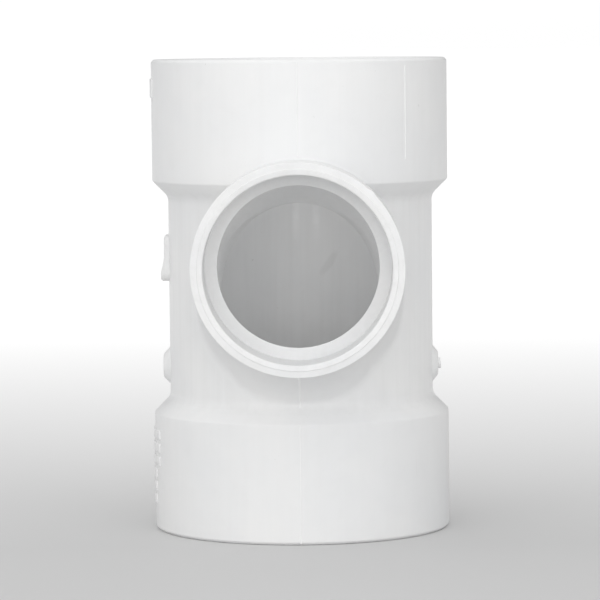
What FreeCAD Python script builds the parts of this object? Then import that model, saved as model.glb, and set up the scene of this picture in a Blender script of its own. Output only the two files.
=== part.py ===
import FreeCAD, Part

import math
import os

import Sketcher

# One white PVC drain fitting: a reducing sanitary tee, hub by hub by hub, moulded in one shot.
# The run stands along Z with its lower socket mouth at Z = 0, and the branch looks along -Y.
# The moulding is divided into its named features, each a closed solid that meets its
# neighbours face to face, so the divisions lie where the wall changes its form.

SIZES = {
    "fitting_height": 158.0,
    # the run, for nominal 3 in pipe of 88.90 mm outside diameter
    "run_hub_radius": 49.7,
    "run_socket_radius": 44.5,
    "run_socket_depth": 38.1,
    "run_bore_radius": 38.95,
    "barrel_radius": 44.4,
    "upper_hub_length": 40.7,
    "lower_hub_length": 39.3,
    "shoulder_reach": 8.0,
    "shoulder_fillet": 4.0,
    "run_mouth_chamfer": 1.5,
    "run_rim_chamfer": 0.9,
    # the branch, for nominal 2 in pipe of 60.33 mm outside diameter
    "branch_height": 91.4,
    "branch_reach": 75.0,
    "branch_hub_radius": 34.3,
    "branch_socket_radius": 30.2,
    "branch_socket_depth": 19.05,
    "branch_bore_radius": 26.25,
    "branch_mouth_chamfer": 0.4,
    "branch_rim_chamfer": 0.6,
    # the sweep that turns the branch down into the run
    "throat_radius": 12.0,
    "sweep_turn": 90.0,
    "bore_taper_turn": 14.4,
    "bore_end_half_width": 26.0,
    "bore_end_half_height": 24.1,
    "bore_end_turn": 62.0,
    # the gate and ejector marks on the two sides of the barrel
    "side_disc_radius": 6.6,
    "side_disc_height": 54.7,
    "gate_disc_proud": 1.8,
    "ejector_disc_proud": 2.2,
    "disc_edge_chamfer": 0.8,
    "gate_nub_radius": 1.9,
    "gate_nub_proud": 1.2,
    "gate_nub_break_radius": 1.33,
    "size_pad_height": 91.2,
    "size_pad_length": 15.4,
    "size_pad_width": 12.0,
    "size_pad_corner": 3.0,
    "size_pad_proud": 2.6,
    "size_pad_slope": 3.5,
    # the plain raised bars that stand where a maker's lettering would be
    "bar_proud": 0.5,
    "bar_rise": 3.0,
    "bar_pitch": 4.4,
    "lowest_bar": 9.0,
    "upper_bar_height": 145.2,
    "upper_bar_rise": 6.4,
    "bar_sweep": 36.0,
    "short_bar_sweep": 24.0,
    # the fine ridge along the closing line of the mould
    "ridge_proud": 0.25,
    "ridge_sweep": 0.7,
    "ridge_clearance": 1.0,
}
BAR_COUNT = 6
LONG_BARS = 3
QUARTER_TURN = 90.0
FULL_TURN = 360.0
# a sketch is first drawn anywhere at this place and spread, and its bindings then move it
DRAWN_AT = 50.0
DRAWN_HALF = 10.0
DRAWN_WIDER = 12.0
RADIUS_TOLERANCE = 0.01
NEARLY_PARALLEL = 0.99
LEAST_WALL_CUT = 1.0

doc = FreeCAD.newDocument("sanitary_tee")
sheet = doc.addObject("Spreadsheet::Sheet", "sizes")
for row, (alias, number) in enumerate(SIZES.items(), start=1):
    sheet.set(f"A{row}", alias)
    sheet.set(f"B{row}", str(number))
    sheet.setAlias(f"B{row}", alias)
doc.recompute()

X_AXIS = FreeCAD.Vector(1, 0, 0)
Y_AXIS = FreeCAD.Vector(0, 1, 0)
Z_AXIS = FreeCAD.Vector(0, 0, 1)
ORIGIN_POINT = (-1, 1)
HORIZONTAL_AXIS = -1
UPRIGHT_AXIS = -2

# Heights along the run where one feature gives way to the next.
LOWER_SHOULDER_EDGE = "sizes.lower_hub_length"
LOWER_SHOULDER_END = "sizes.lower_hub_length + sizes.shoulder_reach"
UPPER_SHOULDER_EDGE = "sizes.fitting_height - sizes.upper_hub_length"
UPPER_SHOULDER_END = f"{UPPER_SHOULDER_EDGE} - sizes.shoulder_reach"
UPPER_STOP = "sizes.fitting_height - sizes.run_socket_depth"
SHOULDER_RISE = "(sizes.run_hub_radius - sizes.barrel_radius)"
BRANCH_STOP = "sizes.branch_reach - sizes.branch_socket_depth"
SWEEP_RADIUS = "sizes.throat_radius + sizes.branch_hub_radius"


def add_body(label, axis=None, turn=0.0, height=None, spin=None):
    """An empty body, turned about an axis, raised by an expression and spun about the run."""
    body = doc.addObject("PartDesign::Body", label)
    rotation = FreeCAD.Rotation(axis or Z_AXIS, turn)
    if spin is not None:
        rotation = FreeCAD.Rotation(Z_AXIS, spin) * rotation
    body.Placement = FreeCAD.Placement(FreeCAD.Vector(), rotation)
    if height:
        body.setExpression("Placement.Base.z", height)
    return body


def add_sketch(body, role, name, offset=None):
    """A sketch on one of the body's own origin planes, with bound offsets if any are given."""
    sketch = body.newObject("Sketcher::SketchObject", f"{body.Name}_{name}")
    plane = next(item for item in body.Origin.OriginFeatures if item.Role == role)
    sketch.AttachmentSupport = [(plane, "")]
    sketch.MapMode = "FlatFace"
    for path, expression in (offset or {}).items():
        sketch.setExpression(path, expression)
    return sketch


def draw_outline(sketch, outline):
    """Draw a closed outline and bind each corner's two distances from the sketch origin."""
    count = len(outline)
    for index in range(count):
        here, ahead = (2 * math.pi * step / count for step in (index, index + 1))
        start = FreeCAD.Vector(
            DRAWN_AT + DRAWN_HALF * math.cos(here), DRAWN_AT + DRAWN_HALF * math.sin(here), 0)
        end = FreeCAD.Vector(
            DRAWN_AT + DRAWN_HALF * math.cos(ahead), DRAWN_AT + DRAWN_HALF * math.sin(ahead), 0)
        sketch.addGeometry(Part.LineSegment(start, end), False)
    for index in range(count):
        sketch.addConstraint(
            Sketcher.Constraint("Coincident", index, 2, (index + 1) % count, 1))
    ways = (("DistanceX", UPRIGHT_AXIS), ("DistanceY", HORIZONTAL_AXIS))
    for index, corner in enumerate(outline):
        for (kind, zero_axis), expression in zip(ways, corner):
            if expression == "0":
                on_axis = Sketcher.Constraint("PointOnObject", index, 1, zero_axis)
                sketch.addConstraint(on_axis)
                continue
            number = sketch.addConstraint(
                Sketcher.Constraint(kind, *ORIGIN_POINT, index, 1, DRAWN_AT))
            sketch.setExpression(f"Constraints[{number}]", expression)


def draw_circle(sketch, radius, centre_rise=None):
    """Draw a circle on the sketch's upright axis and bind its radius and the centre's rise."""
    rise = DRAWN_AT if centre_rise else 0.0
    sketch.addGeometry(Part.Circle(FreeCAD.Vector(0, rise, 0), Z_AXIS, DRAWN_HALF), False)
    number = sketch.addConstraint(Sketcher.Constraint("Radius", 0, DRAWN_HALF))
    sketch.setExpression(f"Constraints[{number}]", radius)
    if not centre_rise:
        sketch.addConstraint(Sketcher.Constraint("Coincident", 0, 3, *ORIGIN_POINT))
        return
    sketch.addConstraint(Sketcher.Constraint("PointOnObject", 0, 3, UPRIGHT_AXIS))
    number = sketch.addConstraint(Sketcher.Constraint("DistanceY", *ORIGIN_POINT, 0, 3, rise))
    sketch.setExpression(f"Constraints[{number}]", centre_rise)


def draw_oval(sketch, half_width, half_height, centre_rise):
    """Draw an oval on the sketch's upright axis and bind its two half axes and its rise."""
    middle = FreeCAD.Vector(0, DRAWN_AT, 0)
    sketch.addGeometry(Part.Ellipse(middle, DRAWN_WIDER, DRAWN_HALF), False)
    sketch.exposeInternalGeometry(0)
    sketch.addConstraint(Sketcher.Constraint("PointOnObject", 0, 3, UPRIGHT_AXIS))
    sketch.addConstraint(Sketcher.Constraint("Horizontal", 1))
    number = sketch.addConstraint(
        Sketcher.Constraint("DistanceY", *ORIGIN_POINT, 0, 3, DRAWN_AT))
    sketch.setExpression(f"Constraints[{number}]", centre_rise)
    halves = ((half_width, DRAWN_WIDER), (half_height, DRAWN_HALF))
    for axis_line, (half, drawn) in enumerate(halves, start=1):
        number = sketch.addConstraint(Sketcher.Constraint("Distance", axis_line, 2 * drawn))
        sketch.setExpression(f"Constraints[{number}]", f"2 * {half}")


def revolve(body, sketch, axis_name, angle=None, both_ways=False, reverse=False):
    """Revolve a sketch about one of its own axes, all the way or by a bound angle."""
    turned = body.newObject("PartDesign::Revolution", f"{sketch.Name}_turned")
    turned.Profile = sketch
    turned.ReferenceAxis = (sketch, [axis_name])
    turned.Reversed = reverse
    turned.Midplane = both_ways
    turned.Angle = FULL_TURN
    if angle:
        turned.setExpression("Angle", angle)
    return turned


def pad(body, sketch, length, reverse=False):
    """Pad a sketch by a bound length."""
    block = body.newObject("PartDesign::Pad", f"{sketch.Name}_pad")
    block.Profile = sketch
    block.Reversed = reverse
    block.setExpression("Length", length)
    return block


def turned_body(label, outline, angle=None, **placing):
    """A body turned from an outline of (radius, height) corners, whole or a thin sector."""
    body = add_body(label, **placing)
    sketch = add_sketch(body, "XZ_Plane", "outline")
    draw_outline(sketch, outline)
    revolve(body, sketch, "V_Axis", angle, both_ways=bool(angle))
    return body


def cut(label, base, *tools):
    """What is left of one shape when others are taken out of it, one after the other."""
    for number, tool in enumerate(tools, start=1):
        last = number == len(tools)
        result = doc.addObject("Part::Cut", label if last else f"{label}_cut_{number}")
        result.Base = base
        result.Tool = tool
        result.Refine = True
        base = result
    base.Label = label
    return base


def group(label, members):
    """Several separate solids kept under one name."""
    result = doc.addObject("Part::Compound", label)
    result.Links = members
    return result


# --- The run: two pipe hubs, the two shoulders that hold their stops, and the barrel. -----------

def hub_outline(stop, rim, inward, hub, socket, mouth_chamfer, rim_chamfer):
    """A plain socket ring between its stop and its rim, with its mouth and its rim bevelled."""
    return [
        (socket, stop),
        (hub, stop),
        (hub, f"{rim} {inward} {rim_chamfer}" if rim != "0" else rim_chamfer),
        (f"{hub} - {rim_chamfer}", rim),
        (f"{socket} + {mouth_chamfer}", rim),
        (socket, f"{rim} {inward} {mouth_chamfer}" if rim != "0" else mouth_chamfer),
    ]


RUN_HUB = ("sizes.run_hub_radius", "sizes.run_socket_radius",
           "sizes.run_mouth_chamfer", "sizes.run_rim_chamfer")

lower_hub = turned_body(
    "lower_hub", hub_outline("sizes.run_socket_depth", "0", "+", *RUN_HUB))
upper_hub = turned_body(
    "upper_hub", hub_outline(UPPER_STOP, "sizes.fitting_height", "-", *RUN_HUB))


def shoulder_body(label, stop, edge, toward_barrel, end):
    """The thick ring behind a socket: its flat stop inside, its 45 degree fall outside."""
    foot = f"{edge} {toward_barrel} {SHOULDER_RISE}"
    body = turned_body(label, [
        ("sizes.run_bore_radius", stop),
        ("sizes.run_hub_radius", stop),
        ("sizes.run_hub_radius", edge),
        ("sizes.barrel_radius", foot),
        ("sizes.barrel_radius", end),
        ("sizes.run_bore_radius", end),
    ])
    doc.recompute()
    turned = body.Tip
    barrel = SIZES["barrel_radius"]
    rings = [
        (number, edge_shape) for number, edge_shape in enumerate(turned.Shape.Edges, start=1)
        if isinstance(edge_shape.Curve, Part.Circle)
        and abs(edge_shape.Curve.Radius - barrel) < RADIUS_TOLERANCE
    ]
    middle = SIZES["fitting_height"] / 2
    foot_ring = max(rings, key=lambda ring: abs(ring[1].Curve.Center.z - middle))
    fillet = body.newObject("PartDesign::Fillet", f"{label}_fillet")
    fillet.Base = (turned, [f"Edge{foot_ring[0]}"])
    fillet.setExpression("Radius", "sizes.shoulder_fillet")
    return body


lower_stop_shoulder = shoulder_body(
    "lower_stop_shoulder", "sizes.run_socket_depth", LOWER_SHOULDER_EDGE, "+",
    LOWER_SHOULDER_END)
upper_shoulder_ring = shoulder_body(
    "upper_shoulder_ring", UPPER_STOP, UPPER_SHOULDER_EDGE, "-", UPPER_SHOULDER_END)
barrel_tube = turned_body("barrel_tube", [
    ("sizes.run_bore_radius", LOWER_SHOULDER_END),
    ("sizes.barrel_radius", LOWER_SHOULDER_END),
    ("sizes.barrel_radius", UPPER_SHOULDER_END),
    ("sizes.run_bore_radius", UPPER_SHOULDER_END),
])

# The outside of the run as one solid core, which trims whatever stands on it.
run_core = turned_body("run_core", [
    ("0", "0"),
    ("sizes.run_hub_radius", "0"),
    ("sizes.run_hub_radius", LOWER_SHOULDER_EDGE),
    ("sizes.barrel_radius", f"{LOWER_SHOULDER_EDGE} + {SHOULDER_RISE}"),
    ("sizes.barrel_radius", f"{UPPER_SHOULDER_EDGE} - {SHOULDER_RISE}"),
    ("sizes.run_hub_radius", UPPER_SHOULDER_EDGE),
    ("sizes.run_hub_radius", "sizes.fitting_height"),
    ("0", "sizes.fitting_height"),
])

# --- The branch: its own frame has Z along the branch, outward, and Y up the run. --------------

BRANCH = {"axis": X_AXIS, "turn": QUARTER_TURN, "height": "sizes.branch_height"}

branch_hub = turned_body("branch_hub", hub_outline(
    BRANCH_STOP, "sizes.branch_reach", "-", "sizes.branch_hub_radius",
    "sizes.branch_socket_radius", "sizes.branch_mouth_chamfer",
    "sizes.branch_rim_chamfer"), **BRANCH)

# The pivot of the sweep lies level with the stop, below the branch: every section of the
# neck and of its bore lies in a plane through that pivot. The bore starts round and its
# roof comes down into the run, so its section turns from a circle into a low oval.
SWEEP_PIVOT = {
    "AttachmentOffset.Base.y": f"-({SWEEP_RADIUS})",
    "AttachmentOffset.Base.z": BRANCH_STOP,
}

neck_blank = add_body("neck_blank", **BRANCH)
neck_section = add_sketch(neck_blank, "XY_Plane", "section", SWEEP_PIVOT)
draw_circle(neck_section, "sizes.branch_hub_radius", SWEEP_RADIUS)
revolve(neck_blank, neck_section, "H_Axis", "sizes.sweep_turn", reverse=True)

BORE_END_RISE = f"{SWEEP_RADIUS} - sizes.branch_bore_radius + sizes.bore_end_half_height"
bore_core = add_body("bore_core", **BRANCH)
bore_mouth = add_sketch(bore_core, "XY_Plane", "mouth", SWEEP_PIVOT)
draw_circle(bore_mouth, "sizes.branch_bore_radius", SWEEP_RADIUS)
bore_end = add_sketch(bore_core, "XY_Plane", "end", SWEEP_PIVOT)
bore_end.AttachmentOffset = FreeCAD.Placement(
    bore_end.AttachmentOffset.Base, FreeCAD.Rotation(-X_AXIS, SIZES["bore_taper_turn"]))
bore_end.setExpression("AttachmentOffset.Rotation.Angle", "sizes.bore_taper_turn")
draw_oval(bore_end, "sizes.bore_end_half_width", "sizes.bore_end_half_height", BORE_END_RISE)
doc.recompute()
revolve(bore_core, bore_end, "H_Axis", "sizes.bore_end_turn", reverse=True)
doc.recompute()
taper = bore_core.newObject("PartDesign::AdditiveLoft", "bore_core_taper")
taper.Profile = bore_mouth
taper.Sections = [bore_end]
taper.Ruled = True
doc.recompute()

branch_neck = cut("branch_neck", neck_blank, run_core, bore_core)
run_barrel = cut("run_barrel", barrel_tube, bore_core)
upper_stop_shoulder = cut("upper_stop_shoulder", upper_shoulder_ring, bore_core)

# --- The marks that the mould leaves on the two sides of the barrel. ---------------------------

LEFT = {"axis": Y_AXIS, "turn": -QUARTER_TURN}
RIGHT = {"axis": Y_AXIS, "turn": QUARTER_TURN}


def disc_blank(label, radius, face, chamfer, side):
    """A round pad that comes out of the run's side, turned about its own axis, edge bevelled."""
    return turned_body(label, [
        ("0", "sizes.run_bore_radius"),
        (radius, "sizes.run_bore_radius"),
        (radius, f"{face} - {chamfer}"),
        (f"{radius} - {chamfer}", face),
        ("0", face),
    ], height="sizes.side_disc_height", **side)


GATE_FACE = "sizes.barrel_radius + sizes.gate_disc_proud"
EJECTOR_FACE = "sizes.barrel_radius + sizes.ejector_disc_proud"
gate_disc = cut("gate_disc", disc_blank(
    "gate_disc_blank", "sizes.side_disc_radius", GATE_FACE,
    "sizes.disc_edge_chamfer", RIGHT), run_core)
ejector_disc = cut("ejector_disc", disc_blank(
    "ejector_disc_blank", "sizes.side_disc_radius", EJECTOR_FACE,
    "sizes.disc_edge_chamfer", LEFT), run_core)
gate_vestige = turned_body("gate_vestige", [
    ("0", GATE_FACE),
    ("sizes.gate_nub_radius", GATE_FACE),
    ("sizes.gate_nub_radius", f"{GATE_FACE} + sizes.gate_nub_proud / 2"),
    ("sizes.gate_nub_break_radius", f"{GATE_FACE} + sizes.gate_nub_proud"),
    ("0", f"{GATE_FACE} + sizes.gate_nub_proud"),
], height="sizes.side_disc_height", **RIGHT)

# The pad on the left stands proudest near its foot and falls back towards its top.
PAD_FACE = "sizes.barrel_radius + sizes.size_pad_proud"
pad_blank = add_body("size_pad_blank", height="sizes.size_pad_height - sizes.size_pad_length / 2",
                     **LEFT)
pad_side = add_sketch(pad_blank, "XZ_Plane", "side")
draw_outline(pad_side, [
    ("0", "sizes.run_bore_radius"),
    ("sizes.size_pad_length", "sizes.run_bore_radius"),
    ("sizes.size_pad_length", f"{PAD_FACE} - sizes.size_pad_proud / 3"),
    ("sizes.size_pad_slope", PAD_FACE),
    ("0", f"{PAD_FACE} - sizes.size_pad_proud / 2"),
])
pad_block = pad(pad_blank, pad_side, "sizes.size_pad_width")
pad_block.Midplane = True
doc.recompute()
upright_edges = [
    f"Edge{number}" for number, edge in enumerate(pad_block.Shape.Edges, start=1)
    if abs(edge.tangentAt(edge.FirstParameter).z) > NEARLY_PARALLEL
]
pad_corners = pad_blank.newObject("PartDesign::Fillet", "size_pad_corners")
pad_corners.Base = (pad_block, upright_edges)
pad_corners.setExpression("Radius", "sizes.size_pad_corner")
size_pad = cut("size_pad", pad_blank, run_core)

# --- Raised bars on the left of the two hubs, and the ridge where the mould halves close. ------


def raised_band(label, foot, rise, radius, proud, sweep, spin):
    """A thin raised patch that follows a round wall: a short sector standing on its face."""
    return turned_body(label, [
        (radius, foot),
        (f"{radius} + {proud}", foot),
        (f"{radius} + {proud}", f"{foot} + {rise}"),
        (radius, f"{foot} + {rise}"),
    ], angle=sweep, spin=spin)


LEFT_SPIN = 180.0
FRONT_SPIN = -90.0
BACK_SPIN = 90.0
HUB_WALL = "sizes.run_hub_radius"
bars = [
    raised_band(f"marking_bar_{number}",
                f"sizes.lowest_bar + {number} * sizes.bar_pitch", "sizes.bar_rise",
                HUB_WALL, "sizes.bar_proud",
                "sizes.short_bar_sweep" if number < BAR_COUNT - LONG_BARS else "sizes.bar_sweep",
                LEFT_SPIN)
    for number in range(BAR_COUNT)
]
bars.append(raised_band("marking_bar_upper", "sizes.upper_bar_height", "sizes.upper_bar_rise",
                        HUB_WALL, "sizes.bar_proud", "sizes.short_bar_sweep", LEFT_SPIN))
marking_bars = group("marking_bars", bars)

BRANCH_CROWN = "sizes.branch_height + sizes.branch_hub_radius"
UPPER_RIM = "sizes.fitting_height - sizes.run_rim_chamfer"
RIDGES = {
    "front_lower": (HUB_WALL, "sizes.run_rim_chamfer", LOWER_SHOULDER_EDGE, FRONT_SPIN),
    "front_upper": (HUB_WALL, f"{BRANCH_CROWN} + sizes.ridge_clearance", UPPER_RIM, FRONT_SPIN),
    "back_lower": (HUB_WALL, "sizes.run_rim_chamfer", LOWER_SHOULDER_EDGE, BACK_SPIN),
    "back_barrel": ("sizes.barrel_radius", LOWER_SHOULDER_END, UPPER_SHOULDER_END, BACK_SPIN),
    "back_upper": (HUB_WALL, UPPER_SHOULDER_EDGE, UPPER_RIM, BACK_SPIN),
}
parting_ridges = group("parting_ridges", [
    raised_band(f"parting_ridge_{name}", foot, f"({top}) - ({foot})", wall,
                "sizes.ridge_proud", "sizes.ridge_sweep", spin)
    for name, (wall, foot, top, spin) in RIDGES.items()
])

# --- Check every object, then write one file for each named feature of the moulding. -----------

SUB_PARTS = [
    lower_hub, lower_stop_shoulder, run_barrel, upper_stop_shoulder, upper_hub,
    branch_neck, branch_hub, gate_disc, gate_vestige, ejector_disc, size_pad,
    marking_bars, parting_ridges,
]
SOLIDS_EXPECTED = {"marking_bars": BAR_COUNT + 1, "parting_ridges": len(RIDGES)}

doc.recompute()
for item in doc.Objects:
    if "Invalid" in item.State or "Error" in item.State:
        raise RuntimeError(f"{item.Name} failed to build: {item.State}")
for part in SUB_PARTS:
    shape = part.Shape
    if shape.isNull() or not shape.isValid():
        raise RuntimeError(f"{part.Label} has no valid shape")
    if len(shape.Solids) != SOLIDS_EXPECTED.get(part.Label, 1):
        raise RuntimeError(f"{part.Label} has {len(shape.Solids)} solids")

# The hole for the branch has to take wall out of the barrel, and the core has to open the neck.
for whole, opened in ((barrel_tube, run_barrel), (neck_blank, branch_neck),
                      (upper_shoulder_ring, upper_stop_shoulder)):
    if opened.Shape.Volume > whole.Shape.Volume - LEAST_WALL_CUT:
        raise RuntimeError(f"nothing was cut out of {whole.Label}")

os.makedirs("parts", exist_ok=True)
for part in SUB_PARTS:
    part.Shape.exportStep(f"parts/{part.Label}.step")
    box = part.Shape.optimalBoundingBox(False)
    reach = " ".join(f"{edge:8.2f}" for edge in (
        box.XMin, box.XMax, box.YMin, box.YMax, box.ZMin, box.ZMax))
    print(f"{part.Label:22s} {part.Shape.Volume:10.1f} mm3  {reach}")
print(f"all together {sum(part.Shape.Volume for part in SUB_PARTS):.0f} mm3")
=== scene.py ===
import math

import bpy
from mathutils import Matrix, Vector


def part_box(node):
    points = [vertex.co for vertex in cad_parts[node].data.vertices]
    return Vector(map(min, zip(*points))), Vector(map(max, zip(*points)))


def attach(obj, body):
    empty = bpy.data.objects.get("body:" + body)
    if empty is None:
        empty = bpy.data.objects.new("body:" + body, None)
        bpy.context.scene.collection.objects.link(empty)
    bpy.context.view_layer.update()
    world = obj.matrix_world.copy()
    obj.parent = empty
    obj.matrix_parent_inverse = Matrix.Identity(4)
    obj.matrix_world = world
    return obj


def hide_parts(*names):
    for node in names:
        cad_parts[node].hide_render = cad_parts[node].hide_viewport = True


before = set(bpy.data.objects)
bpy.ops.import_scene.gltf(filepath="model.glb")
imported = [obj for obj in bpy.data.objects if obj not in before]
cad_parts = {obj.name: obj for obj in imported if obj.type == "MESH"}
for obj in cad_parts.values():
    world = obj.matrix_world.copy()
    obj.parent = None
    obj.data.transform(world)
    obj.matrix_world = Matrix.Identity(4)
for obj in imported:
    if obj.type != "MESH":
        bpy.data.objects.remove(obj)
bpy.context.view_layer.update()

# ----------------------------------------------------------------------------------------------
# Lower hub. The socket at the foot of the run, which the outlet pipe is glued into: a plain
# ring of white PVC, moulded in one with the rest, with a bevelled mouth and an eased rim.
# ----------------------------------------------------------------------------------------------

MM = 0.001
COLUMNS = 240
SAME_PLACE = 0.002 * MM


def start_afresh():
    """Leave edit mode and deselect everything, so that the next operator acts on one piece."""
    if bpy.context.object and bpy.context.object.mode != "OBJECT":
        bpy.ops.object.mode_set(mode="OBJECT")
    bpy.ops.object.select_all(action="DESELECT")


def edit(piece, pick="EDGE"):
    """Open one piece in edit mode with nothing selected on it."""
    start_afresh()
    piece.select_set(True)
    bpy.context.view_layer.objects.active = piece
    bpy.ops.object.mode_set(mode="EDIT")
    bpy.ops.mesh.select_mode(type=pick)
    bpy.ops.mesh.select_all(action="DESELECT")


def ring_place(point, centre, outward):
    """A point's distance from an axis, and how far along the axis it lies."""
    along = (point - centre).dot(outward)
    return (point - centre - outward * along).length, along


def draw_ring(name, corners, centre=(0, 0, 0), outward=(0, 0, 1)):
    """Draw a circle at the first (radius, distance) corner and extrude it round the others."""
    centre, outward = Vector(centre), Vector(outward)
    start_afresh()
    radius, along = corners[0]
    bpy.ops.mesh.primitive_circle_add(
        vertices=COLUMNS, radius=radius, fill_type="NOTHING", location=centre + outward * along,
        rotation=outward.to_track_quat("Z", "Y").to_euler())
    piece = bpy.context.object
    piece.name = name
    bpy.ops.object.transform_apply(location=True, rotation=True, scale=True)
    bpy.ops.object.mode_set(mode="EDIT")
    bpy.ops.mesh.select_mode(type="EDGE")
    bpy.ops.mesh.select_all(action="SELECT")
    for next_radius, next_along in [*corners[1:], corners[0]]:
        bpy.ops.mesh.extrude_region_move()
        bpy.ops.transform.translate(value=outward * (next_along - along))
        grow = [1 + (next_radius / radius - 1) * (1 - abs(part)) for part in outward]
        bpy.ops.transform.resize(value=grow, center_override=centre + outward * next_along)
        radius, along = next_radius, next_along
    bpy.ops.mesh.select_all(action="SELECT")
    bpy.ops.mesh.remove_doubles(threshold=SAME_PLACE)
    bpy.ops.mesh.normals_make_consistent(inside=False)
    start_afresh()
    return piece


def ease_rings(piece, corners, width, segments=4, centre=(0, 0, 0), outward=(0, 0, 1)):
    """Round off the ring edges that run through the given (radius, distance) corners."""
    centre, outward = Vector(centre), Vector(outward)
    edit(piece)
    bpy.ops.object.mode_set(mode="OBJECT")
    mesh = piece.data
    for edge in mesh.edges:
        ends = [ring_place(mesh.vertices[index].co, centre, outward) for index in edge.vertices]
        edge.select = any(
            all(math.dist(end, corner) < 5 * SAME_PLACE for end in ends) for corner in corners)
    bpy.ops.object.mode_set(mode="EDIT")
    bpy.ops.mesh.bevel(offset=width, segments=segments, affect="EDGES", profile=0.5)
    start_afresh()


def smooth(piece, degrees=28):
    """Shade a piece smooth except across its sharp edges."""
    start_afresh()
    piece.select_set(True)
    bpy.context.view_layer.objects.active = piece
    bpy.ops.object.shade_smooth_by_angle(angle=math.radians(degrees))


class Value:
    """A number that changes over a surface: arithmetic on it adds the Math nodes it needs."""

    def __init__(self, finish, socket):
        self.finish = finish
        self.socket = socket

    def math(self, operation, *others, clamp=False):
        sockets = dict(enumerate((self, *others)))
        return self.finish.node(
            "ShaderNodeMath", {"operation": operation, "use_clamp": clamp}, sockets)

    def __add__(self, other):
        return self.math("ADD", other)

    __radd__ = __add__

    def __mul__(self, other):
        return self.math("MULTIPLY", other)

    __rmul__ = __mul__

    def __sub__(self, other):
        return self.math("SUBTRACT", other)

    def __rsub__(self, other):
        return (self * -1.0) + other

    def between(self, low, high):
        """0 below low and 1 above high, or the other way round if low is the higher."""
        return ((self - low) * (1.0 / (high - low))).math("SMOOTH_MIN", 1.0, 0.1).math(
            "MAXIMUM", 0.0, clamp=True)


class Finish:
    """One material, with one method that adds any node to it."""

    def __init__(self, name):
        self.material = bpy.data.materials.new(name)
        self.material.use_nodes = True
        self.tree = self.material.node_tree
        self.shader = self.tree.nodes["Principled BSDF"]

    def node(self, kind, settings, sockets, output=0):
        """Add a node, give it its settings, then a number, colour or value for each socket."""
        node = self.tree.nodes.new(kind)
        for name, setting in settings.items():
            setattr(node, name, setting)
        for name, given in sockets.items():
            self.feed(node.inputs[name], given)
        return Value(self, node.outputs[output])

    def feed(self, socket, given):
        if isinstance(given, Value):
            self.tree.links.new(given.socket, socket)
        else:
            socket.default_value = given

    def place(self):
        return self.node("ShaderNodeTexCoord", {}, {}, output="Object")

    def stretched(self, place, scale):
        return self.node("ShaderNodeMapping", {}, {"Vector": place, "Scale": scale})

    def cloud(self, place, scale, detail=2.0, roughness=0.5):
        sockets = {"Vector": place, "Scale": scale, "Detail": detail, "Roughness": roughness}
        return self.node("ShaderNodeTexNoise", {}, sockets)

    def blend(self, amount, below, above):
        """Mix two colours by a value."""
        return self.node(
            "ShaderNodeMix", {"data_type": "RGBA"}, {0: amount, 6: below, 7: above}, output=2)


CLEAN_WHITE = (0.85, 0.85, 0.847, 1.0)
COOL_WHITE = (0.815, 0.82, 0.825, 1.0)
SCUFF_GREY = (0.66, 0.66, 0.65, 1.0)
DUST_GREY = (0.50, 0.49, 0.47, 1.0)
# A near-white used only for painted reflections and painted highlights.
PAINTED_LIGHT_WHITE = (0.93, 0.93, 0.93, 1.0)
RUN_WALL_MIDDLE = 47.1 * MM
BRANCH_WALL_MIDDLE = 32.0 * MM
DRAG_STRETCH = 0.04
SCRATCH_STRETCH = 0.03
SCRATCH_LEAN = (0.5, 0.3, 0.9)
RIM_WEAR = 1.2 * MM
RIM_WORN_THROUGH = 0.2 * MM
RELIEF = 0.25 * MM
RELIEF_STRENGTH = 0.35
PVC_INDEX = 1.53
PVC_SHEEN = 0.2


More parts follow.
